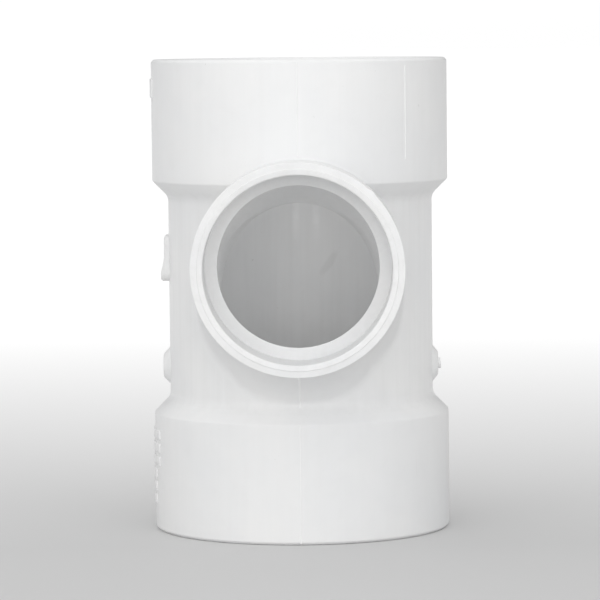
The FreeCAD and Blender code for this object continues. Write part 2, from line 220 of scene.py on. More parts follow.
def white_pvc(name, rims=(), axis_height=None):
    """White PVC as it leaves the mould: flow clouds, orange peel, drag marks, worn rims.

    rims are heights along the piece's own axis where handling has greyed the edge. The axis
    is the run's, or the branch's if its height is given.
    """
    finish = Finish(name)
    place = finish.place()
    across, deep, up = (
        finish.node("ShaderNodeSeparateXYZ", {}, {"Vector": place}, output=axis)
        for axis in range(3))
    if axis_height is None:
        radius = (across * across + deep * deep).math("SQRT")
        along, wall_middle = up, RUN_WALL_MIDDLE
        drag_scale = (1.0, 1.0, DRAG_STRETCH)
    else:
        rise = up - axis_height
        radius = (across * across + rise * rise).math("SQRT")
        along, wall_middle = deep * -1.0, BRANCH_WALL_MIDDLE
        drag_scale = (1.0, DRAG_STRETCH, 1.0)
    inside = radius.between(wall_middle, wall_middle - 0.5 * MM)

    flow = finish.cloud(place, 26.0, 3.0, 0.55)
    mottle = finish.cloud(place, 190.0, 4.0, 0.6)
    peel = finish.cloud(place, 1500.0, 2.0, 0.5)
    drag = finish.cloud(finish.stretched(place, drag_scale), 420.0, 3.0, 0.6)
    scratch_map = finish.node(
        "ShaderNodeMapping", {},
        {"Vector": place, "Rotation": SCRATCH_LEAN, "Scale": (1.0, 1.0, SCRATCH_STRETCH)})
    scratches = finish.cloud(scratch_map, 900.0, 2.0, 0.4).between(0.70, 0.76)
    scuffed = scratches * finish.cloud(place, 42.0, 3.0, 0.6).between(0.56, 0.72)
    specks = finish.cloud(place, 620.0, 1.0, 0.3).between(0.82, 0.86)

    worn = flow * 0.0
    for rim in rims:
        worn = worn + (along - rim).math("ABSOLUTE").between(RIM_WEAR, RIM_WORN_THROUGH)
    worn = worn * mottle.between(0.38, 0.70)

    colour = finish.blend(flow.between(0.35, 0.65), CLEAN_WHITE, COOL_WHITE)
    colour = finish.blend(drag.between(0.40, 0.75) * (inside * 0.10 + 0.06), colour, SCUFF_GREY)
    colour = finish.blend(
        mottle.between(0.50, 0.80) * 0.07 + scuffed * 0.25, colour, SCUFF_GREY)
    colour = finish.blend(specks * 0.30, colour, DUST_GREY)
    finish.colour = finish.blend(worn * 0.10, colour, DUST_GREY)
    finish.feed(finish.shader.inputs["Base Color"], finish.colour)

    gloss = 0.36 + mottle * 0.08 + scuffed * 0.20 + worn * 0.12 - inside * 0.04
    finish.feed(finish.shader.inputs["Roughness"], gloss)

    height = peel * 0.05 + flow * 0.35 + drag * 0.08 - scuffed * 0.10 + worn * 0.03
    bump = finish.node(
        "ShaderNodeBump", {},
        {"Strength": RELIEF_STRENGTH, "Distance": RELIEF, "Height": height})
    finish.feed(finish.shader.inputs["Normal"], bump)
    finish.shader.inputs["IOR"].default_value = PVC_INDEX
    finish.shader.inputs["Specular IOR Level"].default_value = PVC_SHEEN
    return finish


def finish_piece(piece, finish, *nodes):
    """Give a piece its material, ride it on the part's body and let it stand for CAD nodes."""
    piece.data.materials.clear()
    piece.data.materials.append(finish.material)
    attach(piece, "root")
    if nodes:
        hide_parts(*nodes)


def outer_radius(node):
    low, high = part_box(node)
    return high.x


foot, lower_stop = (corner.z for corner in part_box("lower_hub"))
hub_radius = outer_radius("lower_hub")
SOCKET_RADIUS = 44.5 * MM
MOUTH_BEVEL = 1.5 * MM
RIM_BEVEL = 0.9 * MM
HUB_EASE = 0.22 * MM
LOWER_HUB_HEIGHT = 39.3 * MM
LOWER_EDGE = foot + LOWER_HUB_HEIGHT


def hub_ring(name, rim, stop):
    """A socket ring from its rim to its stop, whichever way up it stands."""
    way = 1 if stop > rim else -1
    piece = draw_ring(name, [
        (SOCKET_RADIUS, stop),
        (hub_radius, stop),
        (hub_radius, rim + way * RIM_BEVEL),
        (hub_radius - RIM_BEVEL, rim),
        (SOCKET_RADIUS + MOUTH_BEVEL, rim),
        (SOCKET_RADIUS, rim + way * MOUTH_BEVEL),
    ])
    ease_rings(piece, [
        (hub_radius, rim + way * RIM_BEVEL),
        (hub_radius - RIM_BEVEL, rim),
        (SOCKET_RADIUS + MOUTH_BEVEL, rim),
        (SOCKET_RADIUS, rim + way * MOUTH_BEVEL),
    ], HUB_EASE, segments=3)
    smooth(piece)
    return piece


lower_hub_ring = hub_ring("lower_hub_ring", foot, lower_stop)
pvc_lower = white_pvc("white_pvc_lower_hub", rims=(foot,))
finish_piece(lower_hub_ring, pvc_lower, "lower_hub")

# ----------------------------------------------------------------------------------------------
# Upper hub. The same socket turned over, at the head of the run, for the stack above.
# ----------------------------------------------------------------------------------------------

upper_stop, head = (corner.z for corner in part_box("upper_hub"))
UPPER_HUB_HEIGHT = 40.7 * MM
UPPER_EDGE = head - UPPER_HUB_HEIGHT
upper_hub_ring = hub_ring("upper_hub_ring", head, upper_stop)
pvc_upper = white_pvc("white_pvc_upper_hub", rims=(head,))
finish_piece(upper_hub_ring, pvc_upper, "upper_hub")

# ----------------------------------------------------------------------------------------------
# Barrel. The straight tube between the shoulders, where the wall is thinnest. The branch's
# bore opens through its front, so it is cut with the same swept core that hollows the neck.
# ----------------------------------------------------------------------------------------------

barrel_foot, barrel_head = (corner.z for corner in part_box("run_barrel"))
barrel_radius = outer_radius("run_barrel")
BORE_RADIUS = 38.95 * MM

branch_low, branch_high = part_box("branch_hub")
branch_axis = (branch_low.z + branch_high.z) / 2
branch_radius = branch_high.x
branch_mouth = branch_low.y
branch_stop = branch_high.y

# Every section of the branch's bore lies in a plane through the pivot line, which is level
# with the stop. The bore is round at the stop; its roof then comes down and it turns oval.
THROAT = 12.0 * MM
BRANCH_BORE = 26.25 * MM
OVAL_HALF_WIDTH = 26.0 * MM
OVAL_HALF_HEIGHT = 24.1 * MM
OVAL_TURN = math.radians(14.4)
sweep_radius = THROAT + branch_radius
pivot_height = branch_axis - sweep_radius
floor_radius = sweep_radius - BRANCH_BORE


def swept_point(across, reach, turn):
    """The point at a distance from the pivot line, turned round it from straight up."""
    return Vector((across, branch_stop + reach * math.sin(turn),
                   pivot_height + reach * math.cos(turn)))


def bore_point(angle, turn, slack=0.0):
    """A point on the bore's wall, at an angle round its section and a turn along its sweep."""
    eased = min(max(turn / OVAL_TURN, 0.0), 1.0)
    half_width = BRANCH_BORE + (OVAL_HALF_WIDTH - BRANCH_BORE) * eased + slack
    half_height = BRANCH_BORE + (OVAL_HALF_HEIGHT - BRANCH_BORE) * eased + slack
    reach = floor_radius - slack + half_height * (1 + math.sin(angle))
    return swept_point(half_width * math.cos(angle), reach, turn)


def loft(name, rows, closed=False):
    """Skin a grid of points, one row after another round a tube; closed joins last to first."""
    count = len(rows[0])
    faces = []
    pairs = list(zip(range(len(rows) - 1), range(1, len(rows))))
    if closed:
        pairs.append((len(rows) - 1, 0))
    for here, ahead in pairs:
        for column in range(count):
            beside = (column + 1) % count
            faces.append((here * count + column, here * count + beside,
                          ahead * count + beside, ahead * count + column))
    if not closed:
        faces.append(tuple(range(count)))
        faces.append(tuple(range((len(rows) - 1) * count, len(rows) * count))[::-1])
    mesh = bpy.data.meshes.new(name)
    mesh.from_pydata([point for row in rows for point in row], [], faces)
    piece = bpy.data.objects.new(name, mesh)
    bpy.context.scene.collection.objects.link(piece)
    edit(piece, "FACE")
    bpy.ops.mesh.select_all(action="SELECT")
    bpy.ops.mesh.normals_make_consistent(inside=False)
    start_afresh()
    return piece


def angles(count=COLUMNS):
    return [2 * math.pi * column / count for column in range(count)]


CORE_SLACK = 0.03 * MM
CORE_TURN_STEPS = 36
CORE_FULL_TURN = math.radians(74)


def cut_branch_bore(piece):
    """Take the branch's swept core out of a piece of the run."""
    turns = [CORE_FULL_TURN * step / CORE_TURN_STEPS for step in range(CORE_TURN_STEPS + 1)]
    core = loft("branch_core", [
        [bore_point(angle, turn, CORE_SLACK) for angle in angles()] for turn in turns])
    start_afresh()
    piece.select_set(True)
    bpy.context.view_layer.objects.active = piece
    cutting = piece.modifiers.new("cut", "BOOLEAN")
    cutting.operation = "DIFFERENCE"
    cutting.solver = "EXACT"
    cutting.object = core
    bpy.ops.object.modifier_apply(modifier=cutting.name)
    bpy.data.objects.remove(core)


barrel_tube = draw_ring("barrel_tube", [
    (BORE_RADIUS, barrel_foot),
    (barrel_radius, barrel_foot),
    (barrel_radius, barrel_head),
    (BORE_RADIUS, barrel_head),
])
cut_branch_bore(barrel_tube)
smooth(barrel_tube)
pvc_barrel = white_pvc("white_pvc_barrel")

# Two pale streaks are painted down the back of the bore, near the run's open head: painted
# reflections of the light that comes in there. A grey mark lies beside them.
PAINTED_GLEAMS = (-2.0 * MM, 5.0 * MM)
GLEAM_FOOT = 92.0 * MM
GLEAM_FADE = 9.0 * MM
GLEAM_HALF_WIDTH = 1.7 * MM
GLEAM_CORE = 0.5 * MM
GLEAM_STRENGTH = 0.7
GREY_MARK_PLACE = (9.5 * MM, 86.5 * MM)
GREY_MARK_LEAN = math.radians(35)
GREY_MARK_HALF_WIDTH = 1.3 * MM
GREY_MARK_HALF_LENGTH = 4.5 * MM
GREY_MARK_RAGGED = (3.0 * MM, 2.0 * MM)
GREY_MARK_STRENGTH = 0.30
BORE_ONLY = (41.0 * MM, 40.0 * MM)
BACK_ONLY = (30.0 * MM, 33.0 * MM)
bore_place = pvc_barrel.place()
bore_x, bore_y, bore_z = (
    pvc_barrel.node("ShaderNodeSeparateXYZ", {}, {"Vector": bore_place}, output=axis)
    for axis in range(3))
bore_radius = (bore_x * bore_x + bore_y * bore_y).math("SQRT")
on_bore = bore_radius.between(*BORE_ONLY) * bore_y.between(*BACK_ONLY)
above_foot = bore_z.between(GLEAM_FOOT, GLEAM_FOOT + GLEAM_FADE)
ragged = pvc_barrel.cloud(bore_place, 260.0, 3.0, 0.6)
# Painted reflections: pale streaks on the back of the bore, only above a height near its head.
for gleam in PAINTED_GLEAMS:
    painted_gleam_mask = (bore_x - gleam).math("ABSOLUTE").between(GLEAM_HALF_WIDTH, GLEAM_CORE)
    pvc_barrel.colour = pvc_barrel.blend(
        painted_gleam_mask * on_bore * above_foot * ragged.between(0.2, 0.6) * GLEAM_STRENGTH,
        pvc_barrel.colour, PAINTED_LIGHT_WHITE)
# A ragged, leaning grey oval on the back of the bore, greyest towards its middle.
mark_x = bore_x - GREY_MARK_PLACE[0] + (ragged - 0.5) * GREY_MARK_RAGGED[0]
mark_z = bore_z - GREY_MARK_PLACE[1] + (ragged - 0.5) * GREY_MARK_RAGGED[1]
mark_across = (mark_x * math.cos(GREY_MARK_LEAN) - mark_z * math.sin(GREY_MARK_LEAN)) * (1 / GREY_MARK_HALF_WIDTH)
mark_along = (mark_x * math.sin(GREY_MARK_LEAN) + mark_z * math.cos(GREY_MARK_LEAN)) * (1 / GREY_MARK_HALF_LENGTH)
grey_mark_mask = (mark_across * mark_across + mark_along * mark_along).between(1.6, 0.5)
pvc_barrel.colour = pvc_barrel.blend(
    grey_mark_mask * on_bore * GREY_MARK_STRENGTH, pvc_barrel.colour, SCUFF_GREY)
pvc_barrel.feed(pvc_barrel.shader.inputs["Base Color"], pvc_barrel.colour)
finish_piece(barrel_tube, pvc_barrel, "run_barrel")

# ----------------------------------------------------------------------------------------------
# Stop shoulders. Behind each socket the wall is thick: inside it makes the flat ledge the
# pipe stops on, and outside it falls at 45 degrees to the barrel, with a soft foot.
# ----------------------------------------------------------------------------------------------

SHOULDER_RADIUS = 4.0 * MM
SHOULDER_EASE = 0.35 * MM
LEDGE_EASE = 0.4 * MM
shoulder_drop = hub_radius - barrel_radius
foot_width = SHOULDER_RADIUS * math.tan(math.radians(22.5))


def shoulder_ring(name, stop, edge, end):
    """The ring from a socket's stop to the barrel, whichever way up it stands."""
    way = 1 if end > stop else -1
    foot_corner = (barrel_radius, edge + way * shoulder_drop)
    piece = draw_ring(name, [
        (BORE_RADIUS, stop),
        (hub_radius, stop),
        (hub_radius, edge),
        foot_corner,
        (barrel_radius, end),
        (BORE_RADIUS, end),
    ])
    ease_rings(piece, [foot_corner], foot_width, segments=10)
    ease_rings(piece, [(hub_radius, edge)], SHOULDER_EASE, segments=3)
    ease_rings(piece, [(BORE_RADIUS, stop)], LEDGE_EASE, segments=3)
    return piece


lower_shoulder = shoulder_ring("lower_shoulder", lower_stop, LOWER_EDGE, barrel_foot)
smooth(lower_shoulder)
pvc_shoulder = white_pvc("white_pvc_shoulder")
finish_piece(lower_shoulder, pvc_shoulder, "lower_stop_shoulder")

upper_shoulder = shoulder_ring("upper_shoulder", upper_stop, UPPER_EDGE, barrel_head)
cut_branch_bore(upper_shoulder)
smooth(upper_shoulder)
finish_piece(upper_shoulder, pvc_shoulder, "upper_stop_shoulder")

# ----------------------------------------------------------------------------------------------
# Branch neck. The swept elbow that turns the branch down into the run. Its outside meets the
# barrel, the shoulders and the upper hub with a small round, and a web fills its throat.
# ----------------------------------------------------------------------------------------------

NECK_ROUND = 0.8 * MM
WEB_RADIUS = 28.0 * MM
WEB_TURN = math.radians(88)
NECK_ROWS = 44
BORE_ROWS = 26
MARCH = 0.35 * MM
NUDGE = 0.01 * MM
SETTLING_STEPS = 4
ROUND_STARTS = 1.02 * NECK_ROUND
FURTHEST_TURN = math.radians(80)
HALVINGS = 40
SKIRT_DEPTH = 2.0 * MM
HIDDEN_RADIUS = 43.2 * MM
HIDDEN_SLACK = 2.0 * MM


def shoulder_gap(radius, beyond):
    """How far a point is outside a shoulder; beyond is its height past the hub's edge."""
    slope = (radius - barrel_radius - shoulder_drop + beyond) / math.sqrt(2)
    return max(radius - hub_radius, slope)


def run_gap(point):
    """How far a point is outside the run's outer wall."""
    radius = math.hypot(point.x, point.y)
    gap = radius - barrel_radius
    round_centre = barrel_radius + SHOULDER_RADIUS
    for beyond in (UPPER_EDGE - point.z, point.z - LOWER_EDGE):
        gap = min(gap, shoulder_gap(radius, beyond))
        past_foot = beyond - shoulder_drop
        inward, onward = round_centre - radius, foot_width - past_foot
        if 0 < onward < inward + 1e-9 and inward > 0 and onward < foot_width + SHOULDER_RADIUS:
            if math.atan2(onward, inward) < math.radians(45):
                gap = min(gap, SHOULDER_RADIUS - math.hypot(inward, onward))
    return gap


def neck_gap(point):
    """How far a point is outside the swept neck or the straight web that fills its throat."""
    rise = point.z - pivot_height
    reach = point.y - branch_stop
    web_floor = THROAT
    if rise > 0:
        turn = math.atan2(reach, rise)
        reach = math.hypot(reach, rise)
        if 0 < turn < WEB_TURN:
            web_floor *= math.cos(WEB_TURN / 2) / math.cos(turn - WEB_TURN / 2)
    neck = math.hypot(reach - sweep_radius, point.x) - branch_radius
    web = math.hypot(reach - web_floor - WEB_RADIUS, point.x) - WEB_RADIUS
    return min(neck, web)


def joined_gap(point):
    """How far a point is outside neck and run together, with a round in the corner."""
    neck, run = neck_gap(point), run_gap(point)
    corner = math.hypot(max(NECK_ROUND - neck, 0), max(NECK_ROUND - run, 0))
    return max(NECK_ROUND, min(neck, run)) - corner


def facing(gap, point):
    """The way out of a surface at a point."""
    return Vector([
        gap(point + step) - gap(point - step)
        for step in (Vector((NUDGE, 0, 0)), Vector((0, NUDGE, 0)), Vector((0, 0, NUDGE)))
    ]).normalized()


def settled(gap, point):
    """The point brought straight on to the surface."""
    for _ in range(SETTLING_STEPS):
        point = point - facing(gap, point) * gap(point)
    return point


def walk_to_run(angle):
    """The line down the neck's outside from the stop, over the round and on to the run."""
    across = branch_radius * math.cos(angle)
    reach = sweep_radius + branch_radius * math.sin(angle)
    turn, line = 0.0, []
    while True:
        point = settled(neck_gap, swept_point(across, reach, turn))
        if run_gap(point) < ROUND_STARTS:
            break
        line.append(point)
        turn += MARCH / reach
    heading = line[-1] - line[-2]
    while neck_gap(line[-1]) < NECK_ROUND or run_gap(line[-1]) > NECK_ROUND / 2:
        way_out = facing(joined_gap, line[-1])
        heading = (heading - way_out * heading.dot(way_out)).normalized()
        line.append(settled(joined_gap, line[-1] + heading * MARCH))
    return line


def spaced(line, count):
    """The same line with an even number of points along it."""
    lengths = [0.0]
    for start, end in zip(line, line[1:]):
        lengths.append(lengths[-1] + (end - start).length)
    points, index = [], 0
    for step in range(count):
        goal = lengths[-1] * step / (count - 1)
        while index < len(line) - 2 and lengths[index + 1] < goal:
            index += 1
        span = lengths[index + 1] - lengths[index]
        points.append(line[index].lerp(line[index + 1], (goal - lengths[index]) / span))
    return points


def turn_at_radius(angle, radius, slack=0.0):
    """How far round the sweep the bore's wall comes to a radius from the run's axis."""
    low, high = 0.0, FURTHEST_TURN
    for _ in range(HALVINGS):
        middle = (low + high) / 2
        point = bore_point(angle, middle, slack)
        if math.hypot(point.x, point.y) > radius and point.y < 0:
            low = middle
        else:
            high = middle
    return low


def neck_column(angle):
    """One line round the neck's section: down the outside, in through the wall, up the bore."""
    outside = spaced(walk_to_run(angle), NECK_ROWS)
    landing = outside[-1]
    inward = Vector((landing.x, landing.y, 0)).normalized() * SKIRT_DEPTH
    buried = bore_point(angle, turn_at_radius(angle, HIDDEN_RADIUS), HIDDEN_SLACK)
    end_turn = turn_at_radius(angle, BORE_RADIUS)
    bore = [bore_point(angle, end_turn * (1 - step / BORE_ROWS)) for step in range(BORE_ROWS + 1)]
    return [*outside, landing - inward, buried, *bore]


columns = [neck_column(angle) for angle in angles()]
branch_elbow = loft("branch_elbow", list(zip(*columns)), closed=True)
smooth(branch_elbow)
pvc_neck = white_pvc("white_pvc_neck", axis_height=branch_axis)
finish_piece(branch_elbow, pvc_neck, "branch_neck")

# ----------------------------------------------------------------------------------------------
# Branch hub. The smaller socket ring on the neck. The core that shaped its mouth closed a
# hair proud of the rim, so a fine step runs round the rim just outside the mouth's bevel.
# ----------------------------------------------------------------------------------------------

BRANCH_SOCKET = 30.2 * MM
LIP_RADIUS = 32.0 * MM
LIP_HEIGHT = 0.32 * MM
LIP_FACE = 0.1 * MM
MOUTH_EASE = 0.3 * MM
BRANCH_EDGE = 0.2 * MM
BRANCH_EDGE_EASE = 0.08 * MM
MOUTH_EDGE_EASE = 0.1 * MM
branch_frame = {"centre": (0, 0, branch_axis), "outward": (0, -1, 0)}
mouth_reach, stop_reach = -branch_mouth, -branch_stop
rim_reach = mouth_reach - LIP_HEIGHT

branch_corners = [
    (BRANCH_SOCKET, stop_reach),
    (branch_radius, stop_reach),
    (branch_radius, rim_reach - BRANCH_EDGE),
    (branch_radius - BRANCH_EDGE, rim_reach),
    (LIP_RADIUS + LIP_FACE, rim_reach),
    (LIP_RADIUS, mouth_reach),
    (BRANCH_SOCKET + MOUTH_EASE, mouth_reach - LIP_FACE),
    (BRANCH_SOCKET, mouth_reach - LIP_FACE - MOUTH_EASE),
]
branch_ring = draw_ring("branch_ring", branch_corners, **branch_frame)
ease_rings(branch_ring, branch_corners[2:4], BRANCH_EDGE_EASE, 2, **branch_frame)
ease_rings(branch_ring, branch_corners[6:8], MOUTH_EDGE_EASE, 2, **branch_frame)


def pull_edge(piece, angle, radius, reach, shift, spread):
    """Pull the edge of the rim out at one place, the way a dent or a bit of flash does."""
    spot = Vector((radius * math.cos(angle), -reach, branch_axis + radius * math.sin(angle)))
    edit(piece, "VERT")
    bpy.ops.object.mode_set(mode="OBJECT")
    for point in piece.data.vertices:
        point.select = (point.co - spot).length < spread / 2
    bpy.ops.object.mode_set(mode="EDIT")
    bpy.ops.transform.translate(
        value=shift, use_proportional_edit=True, proportional_edit_falloff="SMOOTH",
        proportional_size=spread, use_proportional_connected=True)
    start_afresh()


# Two small faults of the rim: a torn bit of flash at its upper right and a dent at upper left.
TEAR_ANGLE = math.radians(46)
TEAR_SHIFT = Vector((0.22, 0, 0.22)) * MM
DENT_ANGLE = math.radians(143)
DENT_SHIFT = Vector((-0.25, 0.2, 0.15)) * MM
pull_edge(branch_ring, TEAR_ANGLE, branch_radius, rim_reach, TEAR_SHIFT, spread=1.3 * MM)
pull_edge(branch_ring, DENT_ANGLE, LIP_RADIUS, mouth_reach, DENT_SHIFT, spread=1.6 * MM)
smooth(branch_ring)
pvc_branch = white_pvc("white_pvc_branch_hub", rims=(mouth_reach,), axis_height=branch_axis)
finish_piece(branch_ring, pvc_branch, "branch_hub")

# ----------------------------------------------------------------------------------------------
# Ejector disc. The round boss on the left of the barrel, where a pin of the mould pushed the
# fitting out. Its side slopes in to a smaller face, which the pin has left slightly dished.
# ----------------------------------------------------------------------------------------------

DISC_RADIUS = 6.6 * MM
DISC_COLUMNS = 96
DISC_ROOT = 43.2 * MM
DISC_FOOT = 43.95 * MM
ejector_low, ejector_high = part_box("ejector_disc")
disc_height = (ejector_low.z + ejector_high.z) / 2


def boss(name, corners, centre, outward, columns=DISC_COLUMNS):
    """Raise a round boss through (radius, distance) corners, closed by a face at both ends."""
    centre, outward = Vector(centre), Vector(outward)
    start_afresh()
    radius, along = corners[0]
    bpy.ops.mesh.primitive_circle_add(
        vertices=columns, radius=radius, fill_type="NGON", location=centre + outward * along,
        rotation=outward.to_track_quat("Z", "Y").to_euler())
    piece = bpy.context.object
    piece.name = name
    bpy.ops.object.transform_apply(location=True, rotation=True, scale=True)
    bpy.ops.object.mode_set(mode="EDIT")
    bpy.ops.mesh.select_mode(type="FACE")
    bpy.ops.mesh.select_all(action="SELECT")
    for next_radius, next_along in corners[1:]:
        bpy.ops.mesh.extrude_region_move()
        bpy.ops.transform.translate(value=outward * (next_along - along))
        grow = [1 + (next_radius / radius - 1) * (1 - abs(part)) for part in outward]
        bpy.ops.transform.resize(value=grow, center_override=centre + outward * next_along)
        radius, along = next_radius, next_along
    bpy.ops.mesh.select_all(action="SELECT")
    bpy.ops.mesh.normals_make_consistent(inside=False)
    start_afresh()
    return piece


left_side = {"centre": (0, 0, disc_height), "outward": (-1, 0, 0)}
ejector_face = -ejector_low.x
EJECTOR_TOP = 4.0 * MM
DISH_RADIUS = 2.9 * MM
DISH_DEPTH = 0.2 * MM
DISH_SLOPE = 0.3 * MM
EJECTOR_EASE = 0.6 * MM
ejector_boss = boss("ejector_boss", [
    (DISC_RADIUS, DISC_ROOT),
    (DISC_RADIUS, DISC_FOOT),
    (EJECTOR_TOP, ejector_face),
    (DISH_RADIUS + DISH_SLOPE, ejector_face),
    (DISH_RADIUS, ejector_face - DISH_DEPTH),
], **left_side)
ease_rings(ejector_boss, [(EJECTOR_TOP, ejector_face)], EJECTOR_EASE, 5, **left_side)
smooth(ejector_boss, 35)
pvc_marks = white_pvc("white_pvc_mould_marks")
finish_piece(ejector_boss, pvc_marks, "ejector_disc")

# ----------------------------------------------------------------------------------------------
# Gate disc. The boss on the right of the barrel, where the melt came into the mould. The
# runner was snapped off its middle, which leaves a short rough nub.
# ----------------------------------------------------------------------------------------------

right_side = {"centre": (0, 0, disc_height), "outward": (1, 0, 0)}
gate_face = outer_radius("gate_disc")
GATE_TOP = 3.9 * MM
GATE_EASE = 0.55 * MM
gate_boss = boss("gate_boss", [
    (DISC_RADIUS, DISC_ROOT),
    (DISC_RADIUS, DISC_FOOT),
    (GATE_TOP, gate_face),
], **right_side)
ease_rings(gate_boss, [(GATE_TOP, gate_face)], GATE_EASE, 5, **right_side)
smooth(gate_boss, 35)
finish_piece(gate_boss, pvc_marks, "gate_disc")

nub_end = outer_radius("gate_vestige")
NUB_RADIUS = 1.9 * MM
NUB_NECK = 1.8 * MM
NUB_BREAK = 1.6 * MM
NUB_TILT = math.radians(5)
NUB_COLUMNS = 40
NUB_SUNK = 0.4 * MM
NUB_FOOT = 0.1 * MM
NUB_WAIST = 0.35 * MM
break_start, break_end = nub_end - 0.45 * MM, nub_end - 0.3 * MM
gate_nub = boss("gate_nub", [
    (NUB_RADIUS, gate_face - NUB_SUNK),
    (NUB_RADIUS, gate_face + NUB_FOOT),
    (NUB_NECK, gate_face + NUB_WAIST),
    (NUB_NECK, break_start),
    (NUB_BREAK, break_end),
], columns=NUB_COLUMNS, **right_side)
edit(gate_nub, "FACE")
bpy.ops.object.mode_set(mode="OBJECT")
for face in gate_nub.data.polygons:
    face.select = face.normal.x > 0.99 and face.center.x > break_start
bpy.ops.object.mode_set(mode="EDIT")
bpy.ops.transform.rotate(
    value=NUB_TILT, orient_axis="Y", center_override=(break_end, 0, disc_height))
start_afresh()
smooth(gate_nub, 40)
finish_piece(gate_nub, pvc_marks, "gate_vestige")

# ----------------------------------------------------------------------------------------------
# Size pad. The rounded oblong pad above the ejector disc, where the mould's changeable size
# stamp sits. It stands prouder at its foot than at its head, and it is left blank here.
# ----------------------------------------------------------------------------------------------

pad_low, pad_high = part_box("size_pad")
PAD_CORNER = 3.0 * MM
LEAST_CORNER = 0.05 * MM
PAD_ROOT = 43.1 * MM
PAD_EDGE = 0.9 * MM
PAD_EDGE_STEPS = 6
PAD_RISE = 1.1 * MM
RISE_FROM = 0.55
RISE_TO = 0.12
FACE_RINGS = 10
SLIT = 0.1 * MM
CORNER_STEPS = 8
SIDE_STEPS = 16
pad_centre = (pad_low + pad_high) / 2
pad_half_width, pad_half_length = (pad_high.y - pad_low.y) / 2, (pad_high.z - pad_low.z) / 2
pad_face = -pad_low.x


def pad_ring(inset, depth, follow=1.0):
    """The pad's outline, drawn in by an inset, at a depth under its face.

    follow is 1 where the ring keeps to the face's slope and 0 where it stays level.
    """
    corner = max(PAD_CORNER - inset, LEAST_CORNER)
    flat_width, flat_length = pad_half_width - inset - corner, pad_half_length - inset - corner
    outline = []
    for quarter, (side, end) in enumerate(((1, 1), (-1, 1), (-1, -1), (1, -1))):
        for step in range(CORNER_STEPS + 1):
            turn = (quarter + step / CORNER_STEPS) * math.pi / 2
            outline.append((side * flat_width + corner * math.cos(turn),
                            end * flat_length + corner * math.sin(turn)))
        across, up = outline[-1]
        for step in range(1, SIDE_STEPS):
            share = 2 * step / SIDE_STEPS
            if quarter % 2:
                outline.append((across, up - end * flat_length * share))
            else:
                outline.append((across - side * flat_width * share, up))
    ring = []
    for across, up in outline:
        height = (up / pad_half_length + 1) / 2
        short = min(max((height - RISE_TO) / (RISE_FROM - RISE_TO), 0), 1)
        face = pad_face - follow * PAD_RISE * short * short * (3 - 2 * short)
        ring.append(Vector((depth - face, across, pad_centre.z + up)))
    return ring


pad_rows = [pad_ring(0, pad_face - PAD_ROOT, follow=0)]
for step in range(PAD_EDGE_STEPS + 1):
    turn = math.pi / 2 * step / PAD_EDGE_STEPS
    pad_rows.append(pad_ring(PAD_EDGE * (1 - math.cos(turn)), PAD_EDGE * (1 - math.sin(turn))))
for step in range(1, FACE_RINGS + 1):
    inset = PAD_EDGE + (pad_half_width - PAD_EDGE - SLIT) * step / FACE_RINGS
    pad_rows.append(pad_ring(inset, 0))
size_block = loft("size_block", pad_rows)
smooth(size_block, 35)
finish_piece(size_block, pvc_marks, "size_pad")

# ----------------------------------------------------------------------------------------------
# Marking bars. Plain raised bars on the left of both hubs, in the place where a fitting
# carries its moulded lettering. The mould's engraving gives them soft edges.
# ----------------------------------------------------------------------------------------------

BAR_PROUD = 0.48 * MM
BAR_EDGE = 0.2 * MM
BAR_SHARP = math.radians(50)
BAR_RISE = 3.0 * MM
BAR_PITCH = 4.4 * MM
LOWEST_BAR = 9.0 * MM
LONG_SWEEP = 36
SHORT_SWEEP = 24
UPPER_BAR = 145.2 * MM
UPPER_BAR_RISE = 6.4 * MM
BAR_BURIED = 0.5 * MM
BAR_STEPS = 24


def raised_band(name, foot_height, rise, sweep, azimuth, proud, edge):
    """A soft-edged band on a hub's wall: an upright oblong spun part of the way round."""
    start_afresh()
    depth = proud + BAR_BURIED
    bpy.ops.mesh.primitive_plane_add(
        size=1, location=(hub_radius - BAR_BURIED + depth / 2, 0, foot_height + rise / 2),
        rotation=(math.pi / 2, 0, 0))
    piece = bpy.context.object
    piece.name = name
    piece.scale = (depth, rise, 1)
    bpy.ops.object.transform_apply(location=True, rotation=True, scale=True)
    bpy.ops.object.mode_set(mode="EDIT")
    bpy.ops.mesh.select_all(action="SELECT")
    first = math.radians(azimuth + sweep / 2)
    bpy.ops.transform.rotate(value=-first, orient_axis="Z", center_override=(0, 0, 0))
    bpy.ops.mesh.spin(
        steps=BAR_STEPS, angle=math.radians(sweep), center=(0, 0, 0), axis=(0, 0, 1))
    bpy.ops.mesh.select_all(action="SELECT")
    bpy.ops.mesh.remove_doubles(threshold=SAME_PLACE)
    bpy.ops.mesh.normals_make_consistent(inside=False)
    bpy.ops.mesh.select_all(action="DESELECT")
    bpy.ops.mesh.select_mode(type="EDGE")
    bpy.ops.mesh.edges_select_sharp(sharpness=BAR_SHARP)
    bpy.ops.mesh.bevel(offset=edge, segments=3, affect="EDGES", profile=0.5)
    start_afresh()
    return piece


def join(pieces, name):
    """Make one piece of several."""
    start_afresh()
    for piece in pieces:
        piece.select_set(True)
    bpy.context.view_layer.objects.active = pieces[0]
    bpy.ops.object.join()
    pieces[0].name = name
    return pieces[0]


LEFT = 180
bar_list = []
for row in range(6):
    row_sweep = SHORT_SWEEP if row < 3 else LONG_SWEEP
    bar_list.append(raised_band(
        f"bar_{row}", LOWEST_BAR + row * BAR_PITCH, BAR_RISE, row_sweep, LEFT,
        BAR_PROUD, BAR_EDGE))
bar_list.append(raised_band(
    "bar_upper", UPPER_BAR, UPPER_BAR_RISE, SHORT_SWEEP, LEFT, BAR_PROUD, BAR_EDGE))
hub_bars = join(bar_list, "hub_bars")
smooth(hub_bars, 35)
finish_piece(hub_bars, pvc_marks, "marking_bars")

